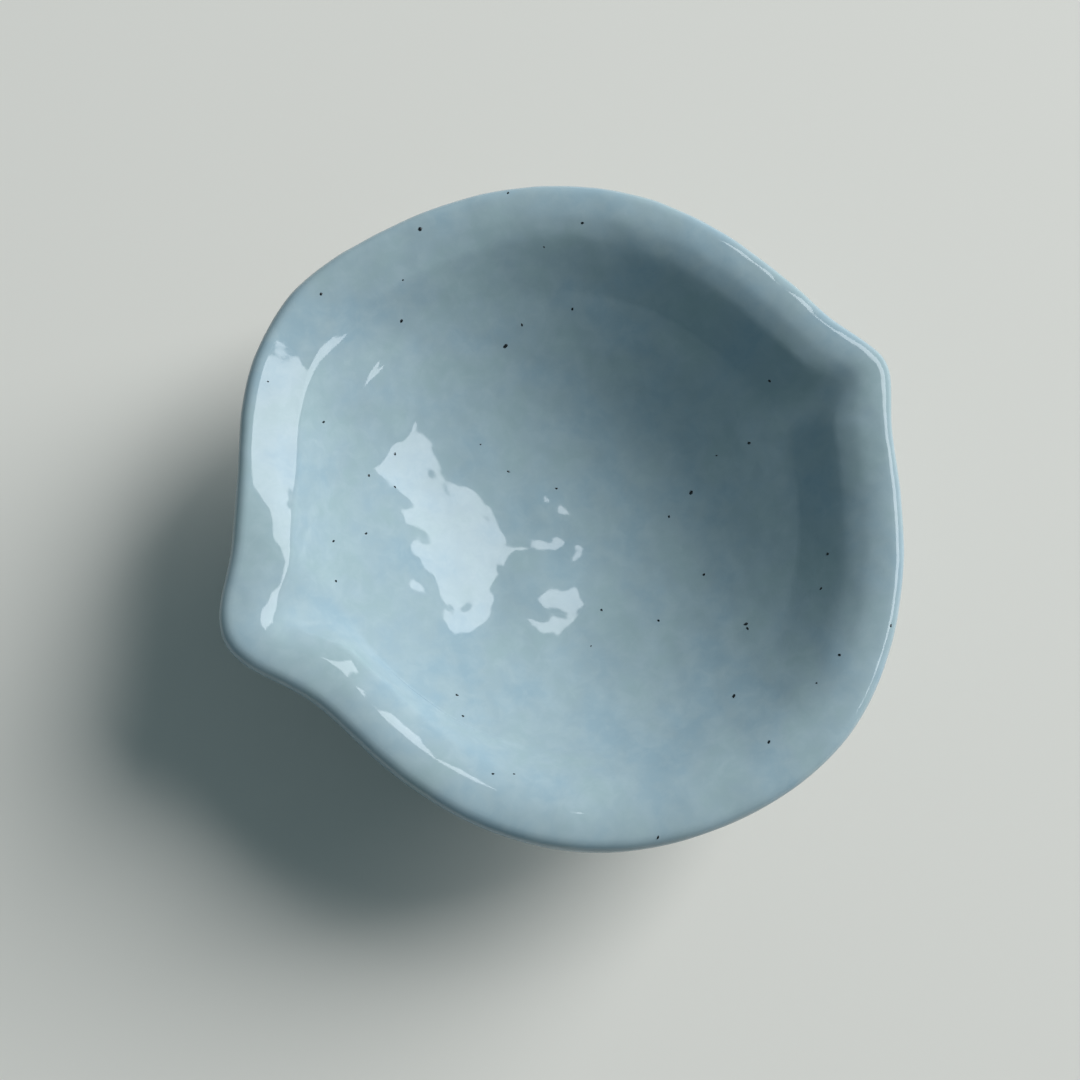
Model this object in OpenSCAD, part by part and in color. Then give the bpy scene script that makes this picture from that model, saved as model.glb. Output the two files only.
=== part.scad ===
// Soy sauce dish: a small hand-formed stoneware bowl with two pinched pouring corners.
// The clay bowl is pressed from one slab, and a foot ring is luted under it with slip.
// Three coats of glaze cover it: one poured inside, one dipped outside, one in the foot.
// The origin is on the table, under the middle of the rim. +X points to the front corner.

/* [Bowl] */
// Mean radius over the glazed rim, before corners and swells
rim_r = 52.8; // [49:0.1:58]
// Height of the lip's crown over the table
rim_h = 31; // [29:0.1:35]
// Radius of the soft crease where the round floor turns into the wall
well_r = 37.5; // [35:0.1:39]
// Height of the crease over the table
crease_h = 23.7; // [22:0.1:25]
// Height of the glazed floor at its lowest point
floor_h = 10; // [9.4:0.1:11]
// How far the lowest point of the well lies off its middle
well_drift = 8.4; // [0:0.2:9]
// Thickness of the clay wall near the lip
wall_t = 4.2; // [3.6:0.1:5]
// Thickness of the clay half way down the belly
belly_t = 6.4; // [5.6:0.1:7]

/* [Lip] */
// Breadth of the flared lip, from the edge in to its shoulder
lip_w = 8.6; // [7.6:0.1:9.6]
// How far the shoulder lies under the crown
shoulder_drop = 1.9; // [1.5:0.1:2.4]
// How far the crown lies in from the edge
crown_in = 1.9; // [1.6:0.1:2.6]
// How far the edge lies under the crown
edge_drop = 2.2; // [1.6:0.1:2.8]
// Slow rise and fall of the crown round the hand-formed rim
rim_wave = 0.35; // [0:0.05:0.8]
// How much higher the crown is where the lip was pressed to a flat slope
flank_lift = 0.4; // [0:0.1:1.2]

/* [Pouring corners] */
// How far the front corner is drawn out past the rim
front_reach = 3.4; // [2:0.1:5]
// How far the back corner is drawn out past the rim
back_reach = 6.4; // [4:0.1:8]
// How much higher the crown is at both corners
corner_lift = 1.2; // [0:0.1:2]

/* [Foot] */
// Radius over the foot ring where it meets the bowl
foot_r = 22; // [20:0.1:24]
// Breadth of the foot ring where it meets the bowl
foot_w = 4.2; // [3.4:0.1:5]
// Height of the bowl's underside over the table
foot_h = 5; // [4.4:0.1:5.2]
// How much each side of the foot ring draws in on its way down to the table
foot_inset = 0.5; // [0.2:0.1:0.8]
// Rounding of the foot ring's two bearing edges
foot_round = 0.8; // [0.4:0.1:1]
// Thickness of the slip between foot ring and bowl
slip_t = 0.4; // [0.2:0.1:0.6]
// Breadth of the slip squeezed out on each side of the foot ring
slip_w = 2.6; // [1.8:0.1:3]
// How far that slip runs down each side of the foot ring
slip_run = 2.2; // [1.6:0.1:2.5]

/* [Glaze] */
// Thickness of the glaze on the walls
coat_t = 0.5; // [0.3:0.05:0.7]
// Thickness of the glaze pooled in the well
pool_t = 0.9; // [0.7:0.05:1.2]
// Thickness of the glaze where it thins over the crown
crown_t = 0.35; // [0.2:0.05:0.5]
// Thickness of the glaze where it ends on the foot ring
end_t = 0.25; // [0.15:0.05:0.4]
// Height of the glaze line over the table
glaze_line = 1.6; // [1.2:0.1:2.2]

/* [Hidden] */

// Steps round the rim, and how far they crowd towards the two corners, in degrees
steps = 80;
crowding = 14;
// Steps round the foot ring, its slip and the coat inside it, which are true circles
foot_steps = 96;

// Place and spread of the two corners round the rim, in degrees
front_angle = 1.5;
front_spread_angle = 7.6;
back_angle = 180.5;
back_spread_angle = 10.8;
lift_spread_angle = 16;
// Place and spread of the lip's flat slope, in degrees, and how sharply it ends each way
flank_angle = 128;
flank_spread_angle = 44;
flank_power = 4;
// Direction in which the well's lowest point lies
drift_angle = 18.5;

// Swells and hollows that the hands left in the rim: angle, rise in shares of rim_r, spread
swell_shares = [
    [26, -0.031, 22], [120, 0.035, 15], [152, -0.025, 11],
    [200, -0.100, 40], [294, 0.021, 18], [338, -0.033, 22]
];
// Lobes of the slow wave along the crown, and the angle at which it starts
wave_lobes = 3;
wave_angle = 50;

// Stations of the section, in shares of each stretch that they divide
floor_shares = [0.2, 0.4, 0.6, 0.78, 0.92, 1];
wall_shares = [0.25, 0.5, 0.75, 1];
lip_shares = [0.25, 0.5, 0.75, 1];
roll_shares = [0.33, 0.67, 1];
under_shares = [0.25, 0.5, 0.75, 1];
belly_shares = [0.25, 0.5, 0.75, 1];
fillet_shares = [0, 0.3, 0.6, 1];
round_shares = [0, 0.33, 0.67, 1];
// The floor steepens outwards by this power
floor_power = 2.05;
// Where the curves of wall and lip bend, in shares of their breadth and of their height
wall_bend_shares = [0.5, 0.5];
lip_bend_shares = [0.42, 1];
// Where the lip's underside runs into the wall, as a share of the wall's curve
under_share = 0.5;
// Where that underside bends, in shares of its breadth and of its height
under_bend_shares = [[0, 0.22], [0.6, 0.3]];
// Where the belly's thickness is set, as a share of the floor above it
belly_share = 0.8;
// How much of the corners is left at the crease, and where in the floor they fade out
crease_pinch_share = 0.16;
fade_share = 0.6;
// How much wider a corner's gutter is deep in the bowl than at the rim
gutter_widening = 1.9;
// How the corners gain on the way up the wall
pinch_power = 0.8;
// How far apart on a curve the two points lie that give its direction
nudge_share = 0.01;

// Angles of the steps round the rim, crowded towards the corners
turn = [for (i = [0:steps - 1]) 360 * i / steps - crowding * sin(720 * i / steps)];
widest_step = max([for (i = [1:steps - 1]) turn[i] - turn[i - 1]]);
// A ring of straight edges clears a true circle inside it when its corners are this much further out
clear_circle = 1 / cos(widest_step / 2);

function mix(a, b, t) = a + (b - a) * t;
// Point between two points, at one share of their breadth and another of their height
function between(a, b, across, up) = [mix(a[0], b[0], across), mix(a[1], b[1], up)];
// Point at the share t of a curve that starts at a, bends at b and ends at c
function bend(a, b, c, t) = mix(mix(a, b, t), mix(b, c, t), t);
function direction(v) = v / norm(v);
function square_to(v) = direction([-v[1], v[0]]);
function reversed(list) = [for (k = [len(list) - 1:-1:0]) list[k]];
function but_first(list) = [for (k = [1:len(list) - 1]) list[k]];
function but_last(list) = [for (k = [0:len(list) - 2]) list[k]];

// Height of one swell at the angle a: one in its middle, fading to nothing
function swell(a, at, spread, power = 2) = exp(-pow(abs((a - at + 540) % 360 - 180) / spread, power));
function rim_swells(a) = [for (s = swell_shares) s[1] * swell(a, s[0], s[2])] * [for (s = swell_shares) 1];
// Radius of the rim's glazed edge at the angle a, with its corners widened by a factor
function rim_edge(a, widen = 1) = rim_r * (1 + rim_swells(a))
    + front_reach * swell(a, front_angle, front_spread_angle * widen)
    + back_reach * swell(a, back_angle, back_spread_angle * widen);
// Slope of the rim's outline against a circle at the angle a
function rim_slope(a) = (rim_edge(a + 1) - rim_edge(a - 1)) / (rim_edge(a) * PI / 90);
// Rise of the crown at the angle a
function rim_rise(a) = rim_wave * cos(wave_lobes * (a - wave_angle)) + corner_lift
    * (swell(a, front_angle, lift_spread_angle) + swell(a, back_angle, lift_spread_angle));

rim_grow = [for (a = turn) rim_edge(a) - rim_r];
gutter_grow = [for (a = turn) rim_edge(a, gutter_widening) - rim_r];
rim_lean = [for (a = turn) sqrt(1 + pow(rim_slope(a), 2)) - 1];
rim_lift = [for (a = turn) rim_rise(a)];
rim_flank = [for (a = turn) swell(a, flank_angle, flank_spread_angle, flank_power)];
drift = well_drift * [cos(drift_angle), sin(drift_angle)];

// A station of the section is its mean radius, its height, its share of the corners, how much
// higher it lies where the lip is pressed flat, and its share of the well's drift. One ring of
// the shape is that station carried round the rim's outline. The less it has of the corners,
// the wider they are. Towards the edge, its distance from the edge is measured square to the
// outline.
function ring(st) = [
    for (i = [0:steps - 1]) let (
        grow = mix(gutter_grow[i], rim_grow[i], st[2]) - (rim_r - st[0]) * rim_lean[i] * st[2],
        r = st[0] + st[2] * grow
    ) [
        r * cos(turn[i]) + st[4] * drift[0],
        r * sin(turn[i]) + st[4] * drift[1],
        st[1] + st[2] * rim_lift[i] + st[3] * rim_flank[i]
    ]
];

// Inside of the clay: the floor, the wall and the inner half of the lip
clay_floor = floor_h - pool_t;
floor_rise = crease_h - floor_h;
shoulder = [rim_r - lip_w, rim_h - shoulder_drop - crown_t];
crease = [well_r, clay_floor + floor_rise];
wall_bend = between(crease, shoulder, wall_bend_shares[0], wall_bend_shares[1]);
crown = [rim_r - crown_in, rim_h - crown_t];
lip_bend = between(shoulder, crown, lip_bend_shares[0], lip_bend_shares[1]);
edge = [rim_r - coat_t, rim_h - edge_drop];

function floor_at(s) = [well_r * s, clay_floor + floor_rise * pow(s, floor_power)];
function floor_pinch(s) = crease_pinch_share * max(0, (s - fade_share) / (1 - fade_share));
function floor_drift(s) = pow(1 - s * s, 2);
function wall_at(t) = bend(crease, wall_bend, shoulder, t);
function wall_pinch(t) = mix(crease_pinch_share, 1, pow(t, pinch_power));

function lip_at(t) = bend(shoulder, lip_bend, crown, t);
// How far a straight slope from the shoulder to the raised crown lies over the lip's curve
function lip_flank(t) = let (
    across = (lip_at(t)[0] - shoulder[0]) / (crown[0] - shoulder[0])
) mix(shoulder[1], crown[1] + flank_lift, across) - lip_at(t)[1];

inside_stations = concat(
    [for (s = floor_shares) [each floor_at(s), floor_pinch(s), 0, floor_drift(s)]],
    [for (t = wall_shares) [each wall_at(t), wall_pinch(t), 0, 0]],
    [for (t = lip_shares) [each lip_at(t), 1, lip_flank(t), 0]]
);

// Edge of the bowl's underside, which just clears the round slip under it
slip_r = foot_r + slip_w;
slip_in = foot_r - foot_w - slip_w;
seat = [slip_r * clear_circle, foot_h];

// Outside of the clay: the roll of the lip, its underside, and the belly down to the foot.
// It lies one thickness under the wall where the lip ends, and another under the floor.
belly_side = square_to(floor_at(belly_share) - floor_at(belly_share - nudge_share));
under_side = square_to(wall_at(under_share + nudge_share) - wall_at(under_share - nudge_share));
under_end = wall_at(under_share) - wall_t * under_side;
under_bends = [for (s = under_bend_shares) between(edge, under_end, s[0], s[1])];
belly_middle = floor_at(belly_share) - belly_t * belly_side;
belly_bend = 2 * belly_middle - (under_end + seat) / 2;

function roll_at(t) = between(crown, edge, sin(90 * t), 1 - cos(90 * t));
function under_at(t) = mix(
    bend(edge, under_bends[0], under_bends[1], t),
    bend(under_bends[0], under_bends[1], under_end, t),
    t
);
function under_pinch(t) = mix(1, wall_pinch(under_share), t);
function belly_at(t) = bend(under_end, belly_bend, seat, t);
function belly_pinch(t) = wall_pinch(under_share) * pow(1 - t, 2);

outside_stations = concat(
    [[each crown, 1, flank_lift, 0]],
    [for (t = roll_shares) [each roll_at(t), 1, flank_lift, 0]],
    [for (t = under_shares) [each under_at(t), under_pinch(t), mix(flank_lift, 0, t), 0]],
    [for (t = belly_shares) [each belly_at(t), belly_pinch(t), 0, 0]]
);

// Side of the foot ring at the height z, drawn in by its draft towards the table
function foot_out(z) = foot_r - foot_inset * (1 - z / foot_h);
function foot_in(z) = foot_r - foot_w + foot_inset * (1 - z / foot_h);
// The slip's hollow fillet from the bowl's underside down to the foot ring
slip_low = foot_h - slip_run;
slip_mid = foot_h - slip_run / 2;
slip_outer = [
    for (t = fillet_shares)
        bend([slip_r, foot_h], [foot_out(foot_h), slip_mid], [foot_out(slip_low), slip_low], t)
];
slip_inner = [
    for (t = fillet_shares)
        bend([slip_in, foot_h], [foot_in(foot_h), slip_mid], [foot_in(slip_low), slip_low], t)
];

// Path of the outer coat under the bowl: over the slip and down the foot ring
foot_path = concat(but_first(slip_outer), [[foot_out(glaze_line), glaze_line]]);
foot_stations = [for (p = foot_path) [p[0] * clear_circle, p[1], 0, 0, 0]];

// Direction away from the clay at the station k of a path
function away(path, k) = let (
    from = path[max(k - 1, 0)],
    to = path[min(k + 1, len(path) - 1)]
) square_to([to[0] - from[0], to[1] - from[1]]);
// The path moved out by the thickness of its coat at each station
function coated(path, thick) = [
    for (k = [0:len(path) - 1]) let (n = away(path, k) * thick[k])
        [path[k][0] + n[0], path[k][1] + n[1], path[k][2], path[k][3], path[k][4]]
];

inside_thick = concat(
    [for (s = floor_shares) mix(pool_t, coat_t, s * s)],
    [for (t = wall_shares) coat_t],
    [for (t = lip_shares) mix(coat_t, crown_t, t)]
);
outside_path = concat(outside_stations, foot_stations);
outside_thick = concat(
    [for (t = concat([0], roll_shares)) mix(crown_t, coat_t, t)],
    [for (p = concat(under_shares, belly_shares, but_last(foot_path))) coat_t],
    [end_t]
);
// At the crown both coats stand straight up from the clay, so that they meet face to face
crown_coat = [crown[0], crown[1] + crown_t, 1, flank_lift, 0];
liner_coat = concat(but_last(coated(inside_stations, inside_thick)), [crown_coat]);
outer_coat = concat([crown_coat], but_first(coated(outside_path, outside_thick)));

// Faces between the ring that starts at point p and the next one at point q. Where the rings
// run back along the clay, lean swaps the diagonal, so that a coat's faces lie on the clay's.
function band(p, q, lean) = [
    for (i = [0:steps - 1]) let (j = (i + 1) % steps)
        each lean
            ? [[p + i, p + j, q + i], [p + j, q + j, q + i]]
            : [[p + i, p + j, q + j], [p + i, q + j, q + i]]
];
// Faces from the middle point to the ring that starts at point p, turned over by flip
function fan(middle, p, flip) = [
    for (i = [0:steps - 1]) let (j = (i + 1) % steps)
        flip ? [middle, p + i, p + j] : [middle, p + j, p + i]
];

// A closed shape from rings between two middle points, whose rings lean from the number back on
module capped_shape(first, stations, last, back) {
    count = len(stations);
    end = 1 + count * steps;
    polyhedron(
        points = concat([first], [for (st = stations) each ring(st)], [last]),
        faces = concat(
            fan(0, 1, false),
            [for (k = [0:count - 2]) each band(1 + k * steps, 1 + (k + 1) * steps, k >= back)],
            fan(end, end - steps, true)
        ),
        convexity = 6
    );
}

// A closed shape from rings that come round to the first again, and lean from the number back on
module looped_shape(stations, back) {
    count = len(stations);
    polyhedron(
        points = [for (st = stations) each ring(st)],
        faces = [for (k = [0:count - 1]) each band(k * steps, (k + 1) % count * steps, k >= back)],
        convexity = 6
    );
}

// Slab-pressed bowl with its two pinched corners and a flat underside for the foot
module clay_bowl() {
    color("#c8bba6")
        capped_shape(
            [each drift, clay_floor],
            concat(inside_stations, but_first(outside_stations)),
            [0, 0, foot_h],
            len(inside_stations) + len(outside_stations)
        );
}

// Ring that the bowl stands on, with a bare flat bearing face between two rounded edges
module foot_ring() {
    top = foot_h - slip_t;
    outer_mid = [foot_out(foot_round) - foot_round, foot_round];
    inner_mid = [foot_in(foot_round) + foot_round, foot_round];
    color("#b89f80")
        rotate_extrude($fn = foot_steps)
            polygon(concat(
                [[foot_in(top), top]],
                [for (t = round_shares) inner_mid + foot_round * [-cos(90 * t), -sin(90 * t)]],
                [for (t = round_shares) outer_mid + foot_round * [sin(90 * t), -cos(90 * t)]],
                [[foot_out(top), top]]
            ));
}

// Slip that joins the foot ring to the bowl: a thin bed, squeezed out to a fillet each side
module luting_slip() {
    bed = foot_h - slip_t;
    color("#a58d70")
        rotate_extrude($fn = foot_steps)
            polygon(concat(
                slip_inner,
                [[foot_in(bed), bed], [foot_out(bed), bed]],
                reversed(slip_outer)
            ));
}

// Coat poured into the bowl: thick in the well, thin on the crown
module liner_glaze() {
    color("#a3b8c0")
        capped_shape(
            [each drift, floor_h],
            concat(liner_coat, reversed(inside_stations)),
            [each drift, clay_floor],
            len(inside_stations)
        );
}

// Coat dipped on the outside, from the crown over the slip to the line on the foot ring
module outer_glaze() {
    color("#8ea6ae")
        looped_shape(concat(outer_coat, reversed(outside_path)), len(outer_coat));
}

// Coat under the bowl, inside the foot ring
module base_glaze() {
    path = concat([[foot_in(glaze_line), glaze_line]], reversed(slip_inner), [[0, foot_h]]);
    thick = concat([end_t], [for (p = but_first(path)) coat_t]);
    skin = [for (p = coated(path, thick)) [max(p[0], 0), p[1]]];
    color("#94abb2")
        rotate_extrude($fn = foot_steps)
            polygon(concat(path, reversed(skin)));
}

clay_bowl();
foot_ring();
luting_slip();
liner_glaze();
outer_glaze();
base_glaze();
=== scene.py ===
"""Looks of a small hand-formed stoneware sauce dish: its glaze, iron specks and bare foot.

The clay, the foot ring and the slip keep their own solids. The three coats of glaze are made
here again, finer, on the same curves, with the unevenness that hands and the kiln leave.
Sizes are in millimetres and angles in degrees, and the meshes are made in metres.
"""

import bisect
import logging
import math
import random
from collections.abc import Callable, Sequence
from dataclasses import dataclass, field, replace
from enum import Enum
from functools import cached_property
from typing import Any, TypeVar

import bmesh
import bpy
from bmesh.types import BMesh, BMVert
from bpy.types import ID, Material, Node, NodeSocket, NodeTree, Object, World
from mathutils import Euler, Matrix, Vector, noise
from mathutils.bvhtree import BVHTree


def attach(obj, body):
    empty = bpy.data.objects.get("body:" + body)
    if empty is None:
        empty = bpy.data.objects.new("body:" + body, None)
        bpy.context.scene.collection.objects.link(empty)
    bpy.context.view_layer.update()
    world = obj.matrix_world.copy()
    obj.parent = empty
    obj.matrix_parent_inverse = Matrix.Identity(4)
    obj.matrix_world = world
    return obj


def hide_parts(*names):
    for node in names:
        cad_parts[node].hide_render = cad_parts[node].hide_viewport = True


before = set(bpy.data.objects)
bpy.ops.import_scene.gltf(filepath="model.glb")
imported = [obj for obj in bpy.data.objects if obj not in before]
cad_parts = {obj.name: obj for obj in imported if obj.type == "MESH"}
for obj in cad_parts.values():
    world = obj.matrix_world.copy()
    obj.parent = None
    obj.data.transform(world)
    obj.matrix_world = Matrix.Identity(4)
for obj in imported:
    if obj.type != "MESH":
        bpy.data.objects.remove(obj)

MM = 0.001
TURN = 360.0
# Points nearer than this to each other or to the axis are one, in millimetres
NEAR = 1e-3
# Places of the sockets of a Mix node that mixes colours
MIX_SHARE, MIX_FIRST, MIX_SECOND, MIX_RESULT = 0, 6, 7, 2
log = logging.getLogger("sauce_dish")

Point = tuple[float, float]
T = TypeVar("T")
Share = Callable[[float], T]
# What a vertex of the section carries with it on its way round the rim
CARRIED = ("corners", "flank", "drift", "way", "skin")


def nothing(share: float) -> float:
    """None of it, at any share of a curve."""
    return 0.0 * share


def mix(start: float, end: float, share: float) -> float:
    """Value at a share of the way from start to end."""
    return start + (end - start) * share


def between(start: Point, end: Point, across: float, up: float) -> Point:
    """Point between two points, at one share of their breadth and another of their height."""
    return mix(start[0], end[0], across), mix(start[1], end[1], up)


def bend(points: Sequence[Point], share: float) -> Point:
    """Point on the curve that starts at the first point, ends at the last and bends at the others.

    Args:
        points: The start, one or two bends, and the end.
        share: Share of the way along, from 0 to 1.

    Returns:
        The point on the curve.
    """
    row = list(points)
    while len(row) > 1:
        row = [between(p, q, share, share) for p, q in zip(row, row[1:])]
    return row[0]


def side_of(start: Point, end: Point) -> Point:
    """Unit vector square to the way from start to end, on its left."""
    run, rise = end[0] - start[0], end[1] - start[1]
    length = math.hypot(run, rise)
    return -rise / length, run / length


def swell(angle: float, at: float, spread: float, power: float = 2.0) -> float:
    """Height of one swell at an angle: one in its middle, fading to nothing."""
    away = abs((angle - at + 1.5 * TURN) % TURN - TURN / 2.0)
    return math.exp(-((away / spread) ** power))


def linear(code: str) -> tuple[float, float, float, float]:
    """Turns an sRGB hex colour into the linear colour that a shader takes.

    Args:
        code: Six hex digits after a #.

    Returns:
        Red, green, blue and alpha.
    """
    parts = [int(code[k : k + 2], 16) / 255.0 for k in (1, 3, 5)]
    red, green, blue = (c / 12.92 if c <= 0.04045 else ((c + 0.055) / 1.055) ** 2.4 for c in parts)
    return red, green, blue, 1.0


def pattern_scale(size: float) -> float:
    """Scale of a noise on Object coordinates whose features are about size millimetres wide."""
    return 1.0 / (size * MM)


def add_node(
    tree: NodeTree,
    kind: str,
    settings: dict[str, Any] | None = None,
    values: dict[str | int, Any] | None = None,
    links: dict[str | int, NodeSocket] | None = None,
    stops: Sequence[tuple[float, str]] = (),
) -> Node:
    """Adds a node with its settings, socket values and links.

    Args:
        tree: Node tree that the node goes to.
        kind: Type name of the node, after ShaderNode.
        settings: Attributes of the node.
        values: Values of inputs, by name or place.
        links: Sockets that feed inputs, by name or place.
        stops: Places and sRGB hex colours of its ramp.

    Returns:
        The new node.
    """
    node = tree.nodes.new("ShaderNode" + kind)
    for name, value in (settings or {}).items():
        setattr(node, name, value)
    for name, value in (values or {}).items():
        node.inputs[name].default_value = value
    for name, socket in (links or {}).items():
        tree.links.new(socket, node.inputs[name])
    while stops and len(node.color_ramp.elements) < len(stops):
        node.color_ramp.elements.new(0.5)
    for stop, (place, code) in enumerate(stops):
        node.color_ramp.elements[stop].position = place
        node.color_ramp.elements[stop].color = linear(code)
    return node


def emptied_tree(owner: Material | World) -> NodeTree:
    """Gives a material or a world its node tree, with no node in it."""
    owner.use_nodes = True
    owner.node_tree.nodes.clear()
    return owner.node_tree


def add_object(name: str, data: ID) -> Object:
    """Adds an object to the scene.

    Args:
        name: Name of the object.
        data: Its mesh, camera or light.

    Returns:
        The new object.
    """
    made = bpy.data.objects.new(name, data)
    bpy.context.scene.collection.objects.link(made)
    return made


def add_mesh(bm: BMesh, name: str, material: Material) -> Object:
    """Adds a mesh object to the scene.

    Args:
        bm: Its mesh, which is freed.
        name: Name of the object and of its mesh.
        material: Its material.

    Returns:
        The new object.
    """
    mesh = bpy.data.meshes.new(name)
    bm.to_mesh(mesh)
    bm.free()
    mesh.materials.append(material)
    return add_object(name, mesh)


def smooth(bm: BMesh, verts: Sequence[BMVert], passes: int) -> None:
    """Draws vertices halfway to the middle of their neighbours, some times over."""
    axes = {"use_axis_x": True, "use_axis_y": True, "use_axis_z": True}
    for _ in range(passes):
        bmesh.ops.smooth_vert(bm, verts=list(verts), factor=0.5, **axes)


def turn_round(bm: BMesh, steps: int) -> None:
    """Turns a section in the XZ plane once round the Z axis, and closes its poles.

    Args:
        bm: Mesh that holds the section, and then the turned shape.
        steps: Steps in a full turn.
    """
    bmesh.ops.spin(
        bm,
        geom=bm.verts[:] + bm.edges[:],
        cent=(0.0, 0.0, 0.0),
        axis=(0.0, 0.0, 1.0),
        dvec=(0.0, 0.0, 0.0),
        angle=2.0 * math.pi,
        steps=steps,
        use_merge=True,
        use_normal_flip=False,
        use_duplicate=False,
    )
    poles = [v for v in bm.verts if v.co.xy.length < NEAR * MM]
    bmesh.ops.remove_doubles(bm, verts=poles, dist=NEAR * MM)
    bmesh.ops.recalc_face_normals(bm, faces=bm.faces[:])


class Slot(Enum):
    """Material slots of the record that the coats of glaze and the specks stand for, named in the
    log.
    """

    INSIDE = "glaze_inside"
    OUTSIDE = "glaze_outside"
    BASE = "glaze_base"


@dataclass(frozen=True)
class Rim:
    """Outline of the rim: a circle with two pinched corners and the swells that hands leave."""

    radius: float = 52.8
    front_reach: float = 3.4
    front_at: float = 1.5
    front_spread: float = 7.6
    back_reach: float = 6.4
    back_at: float = 180.5
    back_spread: float = 10.8
    gutter_widening: float = 1.9
    wave: float = 0.35
    wave_lobes: int = 3
    wave_at: float = 50.0
    corner_lift: float = 1.1
    lift_spread: float = 16.0
    flank_at: float = 128.0
    flank_spread: float = 44.0
    flank_power: float = 4.0
    # Step to either side of an angle that gives the outline's slope there
    degree: float = 1.0
    # Angle, rise in shares of the radius, spread
    swells: tuple[tuple[float, float, float], ...] = (
        (26.0, -0.031, 22.0),
        (120.0, 0.035, 15.0),
        (152.0, -0.025, 11.0),
        (200.0, -0.100, 40.0),
        (294.0, 0.021, 18.0),
        (338.0, -0.033, 22.0),
    )

    def edge(self, angle: float, widen: float = 1.0) -> float:
        """Radius of the glazed edge at an angle, with its corners widened by a factor."""
        swells = sum(rise * swell(angle, at, spread) for at, rise, spread in self.swells)
        return (
            self.radius * (1.0 + swells)
            + self.front_reach * swell(angle, self.front_at, self.front_spread * widen)
            + self.back_reach * swell(angle, self.back_at, self.back_spread * widen)
        )

    def lean(self, angle: float) -> float:
        """How much longer a radius is than a line square to the outline, as a share."""
        before, after = angle - self.degree, angle + self.degree
        arc = self.edge(angle) * math.radians(after - before)
        slope = (self.edge(after) - self.edge(before)) / arc
        return math.sqrt(1.0 + slope**2) - 1.0

    def rise(self, angle: float) -> float:
        """Rise of the crown at an angle."""
        wave = self.wave * math.cos(math.radians(self.wave_lobes * (angle - self.wave_at)))
        corners = swell(angle, self.front_at, self.lift_spread)
        corners += swell(angle, self.back_at, self.lift_spread)
        return wave + self.corner_lift * corners

    def flank(self, angle: float) -> float:
        """How far the lip is pressed to a flat slope at an angle, from 0 to 1."""
        return swell(angle, self.flank_at, self.flank_spread, self.flank_power)


@dataclass(frozen=True)
class Station:
    """A point of the section, with what happens to it on its way round the rim."""

    radius: float
    height: float
    corners: float
    flank: float
    drift: float
    coat: float


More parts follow.
